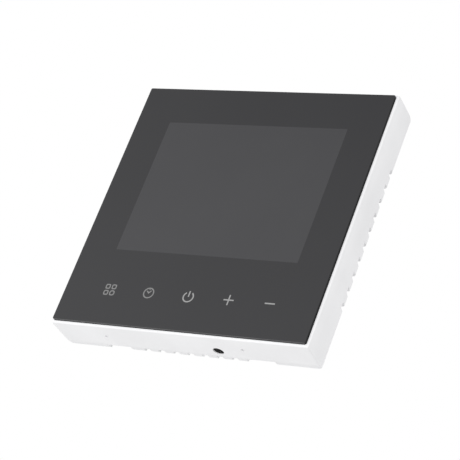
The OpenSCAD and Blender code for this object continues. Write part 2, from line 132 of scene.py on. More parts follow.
def add_world():
    """White backdrop. Its light falls evenly against SKY_SLOPE, and is less near the ceiling."""
    world = bpy.data.worlds.new("studio")
    world.use_nodes = True
    tree = world.node_tree
    toward = connect(tree, "TexCoord").outputs["Generated"]
    slope = connect(tree, "VectorMath", {0: toward, 1: SKY_SLOPE}, operation="DOT_PRODUCT")
    height = connect(tree, "SeparateXYZ", {0: toward}).outputs["Z"]
    start, stop, drop = SKY_CEILING
    fall = {"Value": height, "From Min": start, "From Max": stop,
            "To Min": SKY_MEAN, "To Max": SKY_MEAN + drop}
    ceiling = connect(tree, "MapRange", fall, interpolation_type="SMOOTHSTEP").outputs[0]
    level = connect(tree, "Math", {0: slope.outputs["Value"], 1: ceiling}).outputs[0]
    seen = connect(tree, "LightPath").outputs["Is Camera Ray"]
    strength = connect(tree, "Mix", {"Factor": seen, "A": level, "B": 1.0}).outputs[0]
    backdrop = tree.nodes["Background"]
    tree.links.new(strength, backdrop.inputs["Strength"])
    backdrop.inputs["Color"].default_value = (1, 1, 1, 1)
    bpy.context.scene.world = world


def add_floor():
    """Pale floor well below the object. It takes no part in the lighting."""
    half = FLOOR_SIZE / 2
    mesh = bpy.data.meshes.new("floor")
    corners = [(x * half, y * half, FLOOR_Z) for x, y in ((-1, -1), (1, -1), (1, 1), (-1, 1))]
    mesh.from_pydata(corners, [], [(0, 1, 2, 3)])
    mesh.materials.append(FINISHES["floor"])
    floor = place("floor", mesh)
    floor.visible_diffuse = floor.visible_glossy = False


def add_studio():
    """White surround, one soft light and a pale floor."""
    bpy.context.scene.view_settings.view_transform = "Standard"
    add_world()
    add_key_light()
    add_floor()
    add_camera()


# ---- Finishes ----

ONE_BAND = math.pi / 10  # scale at which the wave texture has one band per unit
NOISE_SPAN = (0.3, 0.7)  # most of the noise texture's values lie in here


class Finish:
    """A procedural material whose patterns are measured in millimetres on the piece itself."""

    def __init__(self, name, colour, roughness, metallic=0.0, ior=1.5, coat=0.0):
        self.name, self.material = name, bpy.data.materials.new(name)
        self.material.use_nodes = True
        self.shader = self.material.node_tree.nodes["Principled BSDF"]
        self.colour = (*colour, 1)
        for socket, value in (("Base Color", self.colour), ("Roughness", roughness),
                              ("Metallic", metallic), ("IOR", ior), ("Coat Weight", coat)):
            self.shader.inputs[socket].default_value = value
        self.place = self.node("TexCoord").outputs["Object"]

    def node(self, kind, inputs=(), **settings):
        return connect(self.material.node_tree, kind, inputs, **settings)

    def drive(self, value, socket):
        """Links a value to one of the shader's inputs."""
        self.material.node_tree.links.new(value, self.shader.inputs[socket])
        return self

    def grid(self, size, stretch=(1, 1, 1)):
        """Coordinates in which one unit is size millimetres, stretched along the axes."""
        scale = [1 / (size * MM * s) for s in stretch]
        return self.node("Mapping", {"Vector": self.place, "Scale": scale}).outputs[0]

    def noise(self, size, detail=3.0, stretch=(1, 1, 1)):
        inputs = {"Vector": self.grid(size, stretch), "Scale": 1.0, "Detail": detail}
        return self.node("TexNoise", inputs).outputs[0]

    def cells(self, size, output="Distance"):
        inputs = {"Vector": self.grid(size), "Scale": 1.0}
        return self.node("TexVoronoi", inputs).outputs[output]

    def lines(self, size, axis, wobble=0.0):
        """Ridges size millimetres apart across an axis."""
        inputs = {"Vector": self.grid(size), "Scale": ONE_BAND, "Distortion": wobble}
        return self.node("TexWave", inputs, bands_direction=axis).outputs["Fac"]

    def levels(self, value, low, high, to_low, to_high):
        inputs = {"Value": value, "From Min": low, "From Max": high,
                  "To Min": to_low, "To Max": to_high}
        return self.node("MapRange", inputs).outputs[0]

    def tint(self, share, colour, low=0.35, high=0.65, most=1.0):
        """Blends a colour in as share goes from low to high."""
        amount = self.levels(share, low, high, 0.0, most)
        inputs = {"Fac": amount, "Color1": self.colour, "Color2": (*colour, 1)}
        self.colour = self.node("MixRGB", inputs).outputs[0]
        return self.drive(self.colour, "Base Color")

    def rough(self, share, smooth, dull):
        """Lets roughness vary between two values."""
        return self.drive(self.levels(share, *NOISE_SPAN, smooth, dull), "Roughness")

    def relief(self, height, depth, strength=1.0):
        """Raises the surface by depth millimetres where height is 1."""
        inputs = {"Height": height, "Distance": depth * MM, "Strength": strength}
        bumped = self.shader.inputs["Normal"].links
        if bumped:
            inputs["Normal"] = bumped[0].from_socket
        return self.drive(self.node("Bump", inputs).outputs[0], "Normal")


def grey(level):
    """Colour without a hue."""
    return (level, level, level)


def moulded(name, colour, roughness, grain=0.25, depth=0.006):
    """Moulded plastic: fine texture, and tone and gloss that drift slightly over the part."""
    finish = Finish(name, colour, roughness)
    finish.tint(finish.noise(14), [c * 0.93 for c in colour], most=0.6)
    finish.rough(finish.noise(3), roughness - 0.05, roughness + 0.07)
    return finish.relief(finish.noise(grain, 2.0), depth)


def metal(name, colour, roughness, brushed=(1, 1, 1)):
    """Metal with drawn lines along the stretched axis and slightly duller patches."""
    finish = Finish(name, colour, roughness, 1.0)
    finish.tint(finish.noise(2.5), [c * 0.85 for c in colour])
    finish.rough(finish.noise(0.3, 4.0, brushed), roughness * 0.7, roughness * 1.4)
    return finish.relief(finish.noise(0.12, 3.0, brushed), 0.0008)


# Colour, roughness, and where they differ the size and depth of the grain
MOULDED = {
    "floor": ((0.84, 0.84, 0.85), 0.7, 40, 0.4),
    "frame_white": ((0.90, 0.90, 0.912), 0.42),
    "box_plastic": ((0.62, 0.62, 0.61), 0.6, 0.4, 0.03),
    "holder_white": ((0.74, 0.74, 0.72), 0.5),
    "relay_blue": ((0.03, 0.10, 0.32), 0.35),
    "terminal_green": ((0.05, 0.30, 0.14), 0.42),
    "chip_black": (grey(0.022), 0.55, 0.15, 0.008),
    "black_plastic": (grey(0.02), 0.42),
    "foam_tape": (grey(0.06), 0.9, 0.3, 0.06),
    "led_body": ((0.78, 0.76, 0.68), 0.4),
    "capacitor_yellow": ((0.72, 0.55, 0.10), 0.25),
    "capacitor_sleeve": ((0.03, 0.05, 0.12), 0.25, 0.8, 0.01),
    "capacitor_tan": ((0.42, 0.30, 0.19), 0.4, 0.3),
    "varistor_blue": ((0.05, 0.18, 0.55), 0.22, 1.5, 0.05),
    "fuse_ceramic": ((0.82, 0.80, 0.74), 0.2, 1.0, 0.01),
    "ferrite": (grey(0.05), 0.7, 0.12, 0.015),
    "sleeve_stripe": ((0.55, 0.57, 0.6), 0.25, 0.8, 0.01),
}
# Colour, roughness, and how much the drawn lines are stretched along each axis
METALS = {
    "gold_plate": ((0.90, 0.66, 0.30), 0.22),
    "tinned_wire": ((0.74, 0.73, 0.70), 0.28),
    "tin_shield": ((0.70, 0.70, 0.68), 0.3, (1, 1, 12)),
    "screw_steel": ((0.62, 0.64, 0.68), 0.26),
    "spring_steel": ((0.52, 0.52, 0.52), 0.24, (12, 1, 1)),
    "relay_iron": ((0.56, 0.55, 0.53), 0.34, (10, 1, 1)),
    "terminal_brass": ((0.75, 0.57, 0.28), 0.28, (1, 10, 1)),
    "solder": ((0.68, 0.69, 0.71), 0.2),
}
# Colour, the colour it drifts to, the size of the drift, and roughness: middle, low and high
GLOSSY = {
    "dark_glass": ((0.0150, 0.0150, 0.0175), (0.0165, 0.0165, 0.0190), 30, (0.05, 0.03, 0.07)),
    "window": ((0.0345, 0.0345, 0.0380), (0.0365, 0.0365, 0.0400), 22, (0.06, 0.04, 0.08)),
}
ICON_LEVELS = {"icon_bright": 0.31, "icon_dim": 0.21}


def make_finishes():
    """Every finish by name; those of the record's slots carry the slot's name."""
    finishes = [moulded(name, *given) for name, given in MOULDED.items()]
    finishes += [metal(name, *given) for name, given in METALS.items()]
    finishes += [glossy(name, *given) for name, given in GLOSSY.items()]
    finishes += [icon_finish(name, level) for name, level in ICON_LEVELS.items()]
    finishes += [build() for build in (
        display_finish, guide_finish, flex_finish, board_finish, track_finish, epoxy_finish,
        zinc_finish, winding_finish, tape_finish, shaded_side_finish)]
    return {finish.name: finish.material for finish in finishes}


def glossy(name, colour, drift, size, roughness):
    """Dark ink or the switched-off display, under the clear gloss of the glass."""
    middle_gloss, smooth, dull = roughness
    finish = Finish(name, colour, middle_gloss)
    finish.tint(finish.noise(size), drift)
    return finish.rough(finish.noise(9, 4.0), smooth, dull)


def shaded_side_finish():
    """Ground left and right edges of the glass, in a darker copy of its finish: painted shade, so
    these sides read darker than the top and bottom.
    """
    finish = Finish("glass_edge", (0.006, 0.006, 0.007), 0.25, ior=1.2)
    return finish.relief(finish.noise(0.2), 0.004).rough(finish.noise(1.5), 0.2, 0.32)


def icon_finish(name, level):
    """Pale print under the gloss of the glass."""
    finish = Finish(name, grey(level), 0.06)
    return finish.tint(finish.noise(0.4), grey(level * 0.92))


def display_finish():
    """Dark display glass with faint smears."""
    finish = Finish("display_glass", (0.07, 0.072, 0.076), 0.08)
    finish.tint(finish.noise(12), (0.055, 0.058, 0.064))
    return finish.rough(finish.noise(3), 0.05, 0.14)


def guide_finish():
    """Clear acrylic sheet with a fine dot pattern."""
    finish = Finish("light_guide", (0.80, 0.84, 0.86), 0.18)
    finish.tint(finish.cells(0.6), (0.95, 0.97, 1.0), 0.25, 0.1)
    return finish.relief(finish.cells(0.6), 0.03)


def flex_finish():
    """Amber film over rows of fine copper tracks."""
    finish = Finish("flex_film", (0.42, 0.17, 0.03), 0.3)
    tracks = finish.lines(0.5, "X")
    return finish.tint(tracks, (0.62, 0.33, 0.10), 0.45, 0.6).relief(tracks, 0.02)


def board_finish():
    """Green solder mask over a glass weave."""
    finish = Finish("board_green", (0.005, 0.085, 0.026), 0.3, ior=1.3, coat=0.1)
    finish.tint(finish.noise(6), (0.004, 0.068, 0.022))
    finish.relief(finish.lines(0.5, "X"), 0.006, 0.6)
    return finish.relief(finish.lines(0.5, "Z"), 0.006, 0.6)


def track_finish():
    """Copper tracks under the solder mask."""
    finish = Finish("board_track", (0.016, 0.150, 0.048), 0.28, ior=1.3, coat=0.1)
    return finish.tint(finish.noise(2), (0.015, 0.12, 0.04)).relief(finish.noise(0.4), 0.004)


def epoxy_finish():
    """Dipped black resin with a wet gloss, and pale specks that are painted glints."""
    finish = Finish("sensor_epoxy", grey(0.003), 0.12, ior=1.08)
    # Painted highlights: pale grey specks painted into the resin's colour where the noise is high.
    finish.tint(finish.noise(0.9, 1.0), grey(0.12), 0.63, 0.68)
    return finish.relief(finish.noise(1.1, 1.0), 0.03)


def zinc_finish():
    """Galvanised sheet: flat crystals of differing shade and gloss."""
    finish = Finish("zinc_steel", (0.60, 0.61, 0.62), 0.34, 1.0)
    crystal = finish.cells(4.5, "Color")
    finish.tint(crystal, (0.72, 0.73, 0.75), 0.2, 0.8)
    finish.tint(finish.noise(0.5, 5.0), (0.50, 0.51, 0.52), 0.5, 0.8, 0.5)
    return finish.rough(crystal, 0.26, 0.42).relief(finish.noise(0.25), 0.004)


def winding_finish():
    """Enamelled copper wire laid side by side."""
    finish = Finish("copper_winding", (0.62, 0.24, 0.08), 0.28, 1.0)
    finish.tint(finish.noise(0.7), (0.48, 0.17, 0.06))
    return finish.rough(finish.noise(0.5), 0.22, 0.36).relief(finish.lines(0.24, "Y", 0.3), 0.06)


def tape_finish():
    """Yellow polyester tape with faint lap lines."""
    finish = Finish("yellow_tape", (0.80, 0.58, 0.08), 0.3)
    finish.tint(finish.noise(3), (0.72, 0.50, 0.06))
    return finish.relief(finish.lines(2.6, "Y", 0.6), 0.05)


# ---- Shapes ----

TINY = 1e-4  # edges shorter than this are dissolved after a cut
WELD_GAP = 0.015  # corners of a CAD mesh closer than this are one corner
FLAT_ANGLE, EDGE_ANGLE = 0.5, 30  # flat below the one, an edge to soften above the other
SHARP_ANGLE = 32  # faces that meet at more than this aren't shaded as one


def circle(radius, sides, x=0, z=0, start=0):
    """Corners of a circle, in turn order; start is the place of the first, in steps."""
    turns = [2 * math.pi * (i + start) / sides for i in range(sides)]
    return [(x + radius * math.cos(t), z + radius * math.sin(t)) for t in turns]


def arc(x, z, radius, start, stop, steps):
    """Points on an arc, angles in degrees from +X towards +Z."""
    angles = [math.radians(a) for a in spread(start, stop, steps + 1)]
    return [(x + radius * math.cos(a), z + radius * math.sin(a)) for a in angles]


def rounded_outline(x, z, width, height, radius, steps=6):
    """Rectangle with round corners, anticlockwise in X and Z."""
    w, h = width / 2 - radius, height / 2 - radius
    corners = ((w, h, 0), (-w, h, 90), (-w, -h, 180), (w, -h, 270))
    return [p for cx, cz, a in corners for p in arc(x + cx, z + cz, radius, a, a + 90, steps)]


def rounded_path(points, radius, steps=5):
    """A line through the points with its corners turned into smooth bends."""
    points = [Vector(p) for p in points]
    path = [points[0]]
    for before, corner, after in zip(points, points[1:], points[2:]):
        reach = min(radius, (before - corner).length / 2, (after - corner).length / 2)
        a = corner + (before - corner).normalized() * reach
        b = corner + (after - corner).normalized() * reach
        for t in spread(0, 1, steps + 1):
            path.append(a * (1 - t) ** 2 + corner * 2 * t * (1 - t) + b * t * t)
    return path + [points[-1]]


def soften(mesh, edges, width, steps):
    """Rounds some of a mesh's edges."""
    bmesh.ops.bevel(mesh, geom=edges, offset=width, segments=steps, profile=0.5,
                    affect="EDGES", clamp_overlap=True)


def hardened(mesh, name):
    """Turns a mesh under construction into mesh data, and frees it."""
    data = bpy.data.meshes.new(name)
    mesh.to_mesh(data)
    mesh.free()
    return data


def bridge(mesh, loops, closed):
    """Adds the faces between each loop of corners and the next."""
    for a, b in zip(loops, loops[1:] + loops[:1] if closed else loops[1:]):
        for i in range(len(a)):
            mesh.faces.new((a[i - 1], a[i], b[i], b[i - 1]))


def oblong(u, v):
    """Rectangular section of a sweep, from its half sizes across and over."""
    return [(-u, -v), (u, -v), (u, v), (-u, v)]


class Shape:
    """A mesh under construction, in millimetres in the row frame."""

    def __init__(self):
        self.mesh = bmesh.new()

    def take(self, part, finish=0, side=None):
        """Adds another mesh's faces. Those that look along X get the side finish, if it's given."""
        bmesh.ops.recalc_face_normals(part, faces=part.faces)
        for face in part.faces:
            edge_on = side is not None and abs(face.normal.x) > 0.7
            face.material_index = side if edge_on else finish
        part.normal_update()
        self.absorb(part)

    def absorb(self, part):
        """Adds another mesh, with its finishes as they are."""
        mesh = hardened(part, "part")
        self.mesh.from_mesh(mesh)
        bpy.data.meshes.remove(mesh)

    def block(self, low, high, edge=0.1, steps=2, finish=0):
        """Box between two corners, its edges rounded."""
        part = bmesh.new()
        bmesh.ops.create_cube(part, size=1)
        low, high = Vector(low), Vector(high)
        for v in part.verts:
            v.co = Vector(a + (b - a) * (c + 0.5) for a, b, c in zip(low, high, v.co))
        if edge:
            soften(part, part.edges, edge, steps)
        self.take(part, finish)

    def prism(self, outline, y, thickness, edge=0.0, steps=2, finish=0, side=None):
        """Outline in X and Z carried along Y, its front and rear rims rounded."""
        part = bmesh.new()
        front = [part.verts.new((px, y, pz)) for px, pz in outline]
        rear = [part.verts.new((px, y + thickness, pz)) for px, pz in outline]
        rims = [part.faces.new(front), part.faces.new(rear[::-1])]
        for i in range(len(outline)):
            part.faces.new((front[i], rear[i], rear[i - 1], front[i - 1]))
        if edge:
            soften(part, list({e for face in rims for e in face.edges}), edge, steps)
        self.take(part, finish, side)

    def ring(self, outer, inner, y, thickness, finish=0):
        """Band between two outlines with the same number of corners, carried along Y."""
        part = bmesh.new()
        edges = ((outer, y), (outer, y + thickness), (inner, y + thickness), (inner, y))
        loops = [[part.verts.new((px, level, pz)) for px, pz in outline]
                 for outline, level in edges]
        bridge(part, loops, True)
        self.take(part, finish)

    def turned(self, profile, at, along=(0, 1, 0), sides=36, finish=0, start=0):
        """Profile of (radius, height) points turned about a line through at. A profile that
        ends where it starts makes a tube."""
        part = bmesh.new()
        lean = Vector((0, 0, 1)).rotation_difference(Vector(along)).to_matrix()
        rings = []
        for radius, height in profile:
            corners = circle(radius, sides, start=start) if radius else [(0, 0)]
            rings.append([part.verts.new(Vector(at) + lean @ Vector((x, y, height)))
                          for x, y in corners])
        for a, b in zip(rings, rings[1:]):
            for i in range(sides):
                quad = [a[i % len(a)], a[(i + 1) % len(a)], b[(i + 1) % len(b)], b[i % len(b)]]
                corners = list(dict.fromkeys(quad))
                if len(corners) > 2:
                    part.faces.new(corners)
        if profile[0] == profile[-1]:
            bmesh.ops.remove_doubles(part, verts=part.verts, dist=1e-5)
        else:
            for ring in (rings[0], rings[-1]):
                if len(ring) > 2:
                    part.faces.new(ring)
        self.take(part, finish)

    def swept(self, path, section, up=None, closed=False, finish=0):
        """Section of (across, over) points carried along a path. up is the section's over
        direction. Without it the section turns as little as it can."""
        part, path = bmesh.new(), [Vector(p) for p in path]
        count, rings = len(path), []
        over = Vector(up or (0, 0, 1))
        for i, point in enumerate(path):
            before = path[i - 1] if i or closed else None
            after = path[(i + 1) % count] if i + 1 < count or closed else None
            come = (point - before).normalized() if before else (after - point).normalized()
            leave = (after - point).normalized() if after else come
            ahead = (come + leave).normalized()
            if not up and i == 0 and abs(over.dot(ahead)) > 0.9:
                over = Vector((1, 0, 0))
            across = over.cross(ahead).normalized()
            over_here = ahead.cross(across)
            if not up:
                over = over_here
            widen = 1 / max(0.5, ahead.dot(leave))
            rings.append([part.verts.new(point + across * u * widen + over_here * v)
                          for u, v in section])
        bridge(part, rings, closed)
        if not closed:
            part.faces.new(rings[0])
            part.faces.new(rings[-1])
        self.take(part, finish)

    def wire(self, path, radius, sides=10, finish=0):
        """Round wire along a path."""
        self.swept(path, circle(radius, sides), finish=finish)

    def strip(self, points, width, y, thickness, closed=False, finish=0):
        """Flat line of a given width drawn in X and Z, raised from y by thickness towards +Y."""
        w = width / 2
        section = [(-w, 0), (w, 0), (w, thickness), (-w, thickness)]
        self.swept([(x, y, z) for x, z in points], section, (0, 1, 0), closed, finish)

    def cut(self, tool):
        """Takes another shape's volume out of this one."""
        target, cutter = [place("scratch", hardened(shape.mesh, "scratch"))
                          for shape in (self, tool)]
        boolean = target.modifiers.new("cut", "BOOLEAN")
        boolean.object, boolean.operation, boolean.solver = cutter, "DIFFERENCE", "EXACT"
        boolean.use_self = True
        result = bpy.data.meshes.new_from_object(
            target.evaluated_get(bpy.context.evaluated_depsgraph_get()))
        self.mesh = bmesh.new()
        self.mesh.from_mesh(result)
        bmesh.ops.dissolve_degenerate(self.mesh, dist=TINY, edges=self.mesh.edges)
        for obj in (target, cutter):
            bpy.data.objects.remove(obj)

    def make(self, name, body, finishes, stands_for=None, slot=None, sharp=SHARP_ANGLE):
        """Turns the shape into a piece that rides on a body, in metres. finishes are names with
        spaces between them, in the order of the faces' numbers."""
        bmesh.ops.scale(self.mesh, vec=(MM, MM, MM), verts=self.mesh.verts)
        mesh = hardened(self.mesh, name)
        for finish in finishes.split():
            mesh.materials.append(FINISHES[finish])
        mesh.shade_smooth()
        mesh.set_sharp_from_angle(angle=math.radians(sharp))
        piece = place(name, mesh)
        piece.modifiers.new("shading", "WEIGHTED_NORMAL").keep_sharp = True
        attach(piece, body)
        if stands_for:
            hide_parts(stands_for)


def dress(node, finish, edge):
    """Gives a CAD part its finish and softens its sharp edges, without touching its mesh."""
    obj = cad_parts[node]
    for slot in obj.material_slots:
        slot.material = FINISHES[finish]
    weld = obj.modifiers.new("weld", "WELD")
    weld.merge_threshold = WELD_GAP * MM
    flat = obj.modifiers.new("flat", "DECIMATE")
    flat.decimate_type, flat.angle_limit = "DISSOLVE", math.radians(FLAT_ANGLE)
    bevel = obj.modifiers.new("edges", "BEVEL")
    bevel.width, bevel.segments = edge * MM, 2
    bevel.limit_method, bevel.angle_limit = "ANGLE", math.radians(EDGE_ANGLE)
    bevel.harden_normals = True
    obj.modifiers.new("shading", "WEIGHTED_NORMAL")


# ---- Front panel ----

KEYS, PINS = 5, 8
WINDOW_SIZE, WINDOW_CORNER = (61.2, 46.5), 0.3
ICON_LINE, ICON_FINE = 0.42, 0.38
GLASS_CORNER, GLASS_BEVEL = 0.22, 0.14
ICON_RAISE = 0.03
WIRE_INSETS = (1.55, 0.3)  # how far in from their right edge the sensor's wires end


def key_places():
    """Centres of the five touch keys, in X and Z."""
    low, high = span("touch_springs")
    radius = (high.z - low.z) / 2
    return [(x, low.z + radius) for x in spread(low.x + radius, high.x - radius, KEYS)]


def add_glass():
    """Glass with a dark print behind it, the display window and the five key icons."""
    low, high = span("glass_panel")
    centre, display = middle("glass_panel"), middle("lcd_cell")
    shape, face = Shape(), low.y + ICON_RAISE
    outline = rounded_outline(centre.x, centre.z, high.x - low.x, high.z - low.z, GLASS_CORNER)
    # The faces that look along X, the glass's left and right sides, take finish 1: painted shade, a
    # darker finish than the top and bottom get.
    shape.prism(outline, face, high.y - face, GLASS_BEVEL, 3, 0, 1)
    window = rounded_outline(display.x, display.z, *WINDOW_SIZE, WINDOW_CORNER)
    shape.prism(window, face - 0.01, 0.1, finish=2)
    draw_icons(shape, low.y)
    finishes = "dark_glass glass_edge window icon_bright icon_dim"
    shape.make("glass_panel_printed", PANEL, finishes, "glass_panel", "dark_glass")


def draw_icons(shape, y):
    """Grid of four squares, clock, power, plus and minus, one at each key."""
    bright, dim = 3, 4
    grid, clock, power, plus, minus = [(x, z + 0.1) for x, z in key_places()]

    def line(points, finish, closed=False):
        width = ICON_FINE if finish == dim else ICON_LINE
        shape.strip(points, width, y, ICON_RAISE, closed, finish)

    for side in (-1, 1):
        for level in (-1, 1):
            size, radius = (1.4, 0.5) if (side, level) == (1, -1) else (1.28, 0.3)
            x, z = grid[0] + 0.1 + side * 1.06, grid[1] + level * 1.04
            line(rounded_outline(x, z, size, size, radius, 3), dim, True)
    x, z = clock
    line(arc(x, z, 1.62, 0, 352.5, 47), dim, True)
    line([(x - 0.75, z + 0.7), (x, z), (x + 0.7, z + 0.8)], dim)
    line([(x, z + 1.1), (x, z + 1.5)], dim)
    x, z = power
    line(arc(x, z - 0.15, 1.62, 125, 415, 40), bright)
    line([(x, z - 0.1), (x, z + 1.8)], bright)
    x, z = plus[0] - 0.15, plus[1]
    line([(x - 1.65, z), (x + 1.65, z)], bright)
    for side in (-1, 1):
        line([(x, z + side * ICON_LINE / 2), (x, z + side * 1.7)], bright)
    x, z = minus[0] - 0.25, minus[1]
    line([(x - 1.65, z), (x + 1.6, z)], bright)


def add_sensor():
    """Black drop that fills its air hole's mouth, with two bent wires up to the front board."""
    low, high = span("sensor_bead")
    centre, tall = (low + high) / 2, high.z - low.z
    radius = min(high.x - low.x, high.y - low.y) / 2
    outline = ((0, 0), (0.6, 0.004), (0.86, 0.014), (0.95, 0.04), (0.99, 0.09), (1, 0.16),
               (1, 0.45), (0.94, 0.65), (0.82, 0.78), (0.66, 0.89), (0.42, 0.97), (0.2, 1), (0, 1))
    shape, foot = Shape(), (centre.x, centre.y, low.z)
    shape.turned([(radius * r, tall * h) for r, h in outline], foot, (0, 0, 1), 40)
    shape.make("sensor_bead_dipped", PANEL, "sensor_epoxy", "sensor_bead", "sensor_epoxy", 60)
    tip, (low, high) = high.x, span("sensor_leads")
    wires, thick = Shape(), 0.2
    for side, inset in zip((-1, 1), WIRE_INSETS):
        start = (tip - 0.7, centre.y + side * 0.25, centre.z + 0.1)
        bend = (tip + 0.3 + side * 0.2, centre.y + 0.45 + side * 0.05, low.z + 2.4)
        stop = (high.x - inset, high.y - 0.25, high.z - 0.4)
        wires.wire(rounded_path([start, bend, stop], 1.2), thick)
    wires.make("sensor_wires", PANEL, "tinned_wire", "sensor_leads", "tinned_wire")


def add_display():
    """Display cell: two glass plates with a polariser on each, and a chip on the lower ledge."""
    low, high = span("lcd_cell")
    film, seal, ledge = 0.2, 0.1, 2.6
    plate = (high.y - low.y - 2 * film - seal) / 2
    shape, y = Shape(), low.y
    layers = ((film, 0.8, ledge + 0.8, 1), (plate, 0, ledge, 0), (seal, 0.5, ledge + 0.5, 1),
              (plate, 0, 0, 0), (film, 0.8, ledge, 1))
    for thickness, inset, lift, finish in layers:
        shape.block((low.x + inset, y, low.z + lift),
                    (high.x - inset, y + thickness, high.z - inset),
                    min(0.08, thickness / 3), 1, finish)
        y += thickness
    centre, front = (low.x + high.x) / 2, low.y + film + plate + seal
    shape.block((centre - 9, front - 0.4, low.z + 0.6), (centre + 9, front, low.z + 1.9),
                0.05, 1, 1)
    shape.make("display_cell", PANEL, "display_glass black_plastic", "lcd_cell", "display_glass")


def add_backlight():
    """Clear light guide between a diffuser and a reflector, with a row of lamps along its top."""
    low, high = span("light_guide")
    shape, lamp = Shape(), 1.6
    for near, far, inset, finish in ((0, 0.25, 0.3, 1), (0.3, 1.65, 0, 0), (1.7, 2.0, 0.2, 1)):
        shape.block((low.x + inset, low.y + near, low.z + inset),
                    (high.x - inset, low.y + far, high.z - lamp - inset), 0.06, 1, finish)
    shape.block((low.x, low.y + 0.3, high.z - 0.25), (high.x, low.y + 1.65, high.z), 0.05, 1, 3)
    for x in spread(low.x + 5, high.x - 5, 8):
        shape.block((x - 1.5, low.y + 0.4, high.z - lamp),
                    (x + 1.5, low.y + 1.5, high.z - 0.25), 0.1, 1, 2)
    shape.make("backlight_stack", PANEL, "light_guide holder_white led_body flex_film",
               "light_guide", "light_guide")


def add_flex():
    """Ribbon bent from the display's ledge round to its solder pads on the front board."""
    low, high = span("lcd_flex")
    x, w, t = (low.x + high.x) / 2, (high.x - low.x) / 2, 0.07
    fold, near, far = low.z + 4.1, low.y - t, high.y - 0.06 - t
    path = [(x, near, high.z), (x, near, fold), (x, far, fold), (x, far, low.z)]
    shape = Shape()
    shape.swept(rounded_path(path, 1.1, 8), oblong(t, w), (1, 0, 0))
    for x in spread(low.x + 1, high.x - 1, 23):
        shape.block((x - 0.28, high.y - 0.05, low.z), (x + 0.28, high.y, low.z + 1.8), 0, finish=1)
    shape.block((low.x, far - t - 0.12, low.z + 1.9), (high.x, far - t, low.z + 3.2), 0.04, 1, 2)
    shape.make("display_ribbon", PANEL, "flex_film gold_plate holder_white",
               "lcd_flex", "flex_film")


def add_springs():
    """Coil springs that carry the touch from the glass to the board, with closed ends."""
    low, high = span("touch_springs")
    wire, turns, steps = 0.55, 6.5, 20
    radius, free = (high.z - low.z - wire) / 2, high.y - low.y - 3 * wire
    shape = Shape()
    for x, z in key_places():
        path = []
        for turn in (i / steps for i in range(int(turns * steps) + 1)):
            open_part = min(max((turn - 1) / (turns - 2), 0), 1)
            rise = wire * (0.5 + min(turn, 1) + max(turn - turns + 1, 0)) + free * open_part
            angle = 2 * math.pi * turn
            path.append((x + radius * math.cos(angle), low.y + rise, z - radius * math.sin(angle)))
        shape.wire(path, wire / 2, 8)
    shape.make("touch_coils", PANEL, "gold_plate", "touch_springs", "gold_plate")


# ---- Screws and pins ----

PAN_HEAD = ((0, 0), (0.96, 0), (1, 0.12), (0.97, 0.45), (0.82, 0.8), (0.5, 0.97), (0, 1))
CHEESE_HEAD = ((0, 0), (0.95, 0), (1, 0.06), (1, 0.86), (0.9, 1), (0, 1))
RECESS_WIDTH, RECESS_DEPTH = 0.48, 0.6  # the depth is a share of the head's height
SCREW_POINT = 0.4  # length of the point, without thread


def add_screw(shape, x, z, seat, face, form, head, shank, slots):
    """Screw along Y with its head's underside at seat. face is 1 when the head looks towards
    +Y, head is radius and height, shank is radius, length and pitch, and slots are half sizes."""
    (wide, tall), (radius, length, pitch) = head, shank
    top, tool = Shape(), Shape()
    top.turned([(r * wide, h * tall) for r, h in form], (x, seat, z), (0, face, 0), 32)
    for sx, sz in slots:
        tool.block((x - sx, seat + face * tall * (1 - RECESS_DEPTH), z - sz),
                   (x + sx, seat + face * 2 * tall, z + sz), 0)
    top.cut(tool)
    shape.absorb(top.mesh)
    ridge = pitch * 0.4
    core = radius - ridge
    shape.turned([(0, -length), (core * 0.6, -length), (core, SCREW_POINT - length), (core, 0.05)],
                 (x, seat, z), (0, face, 0), 16)
    turns, steps = (length - 0.6) / pitch, 14
    path = []
    for i in range(int(turns * steps)):
        angle, depth = 2 * math.pi * i / steps, length - SCREW_POINT - i / steps * pitch
        path.append((x + core * math.cos(angle), seat - face * depth,
                     z - face * core * math.sin(angle)))
    shape.swept(path, [(0.1, -face * ridge), (-ridge, 0), (0.1, face * ridge)], (0, face, 0))


def cross(radius):
    """Half sizes of the two slots of a cross recess."""
    return [(radius * 0.58, RECESS_WIDTH / 2), (RECESS_WIDTH / 2, radius * 0.58)]


def add_cross_screws(node, body, face, head, shank, rows):
    """Pan head screws in the corners or along the middle of a CAD group of screws."""
    low, high = span(node)
    seat = high.y - head[1] if face > 0 else low.y + head[1]
    shape = Shape()
    for x in (low.x + head[0], high.x - head[0]):
        for z in spread(low.z + head[0], high.z - head[0], 2)[:rows]:
            add_screw(shape, x, z, seat, face, PAN_HEAD, head, shank, cross(head[0]))
    name = node.replace("_screws", "_cross_screws")
    shape.make(name, body, "screw_steel", node, "screw_steel")


def add_terminal_screws():
    """Cheese head screws with one slot, each on its own body."""
    for i in TERMINALS:
        node = f"terminal_screw_{i}"
        low, high = span(node)
        head = ((high.x - low.x) / 2, 1.8)
        shape = Shape()
        add_screw(shape, low.x + head[0], low.z + head[0], high.y - head[1], 1, CHEESE_HEAD, head,
                  (1.25, high.y - head[1] - low.y, 0.45), [(2 * head[0], 0.3)])
        shape.make(f"slotted_screw_{i}", node, "screw_steel", node, "screw_steel")


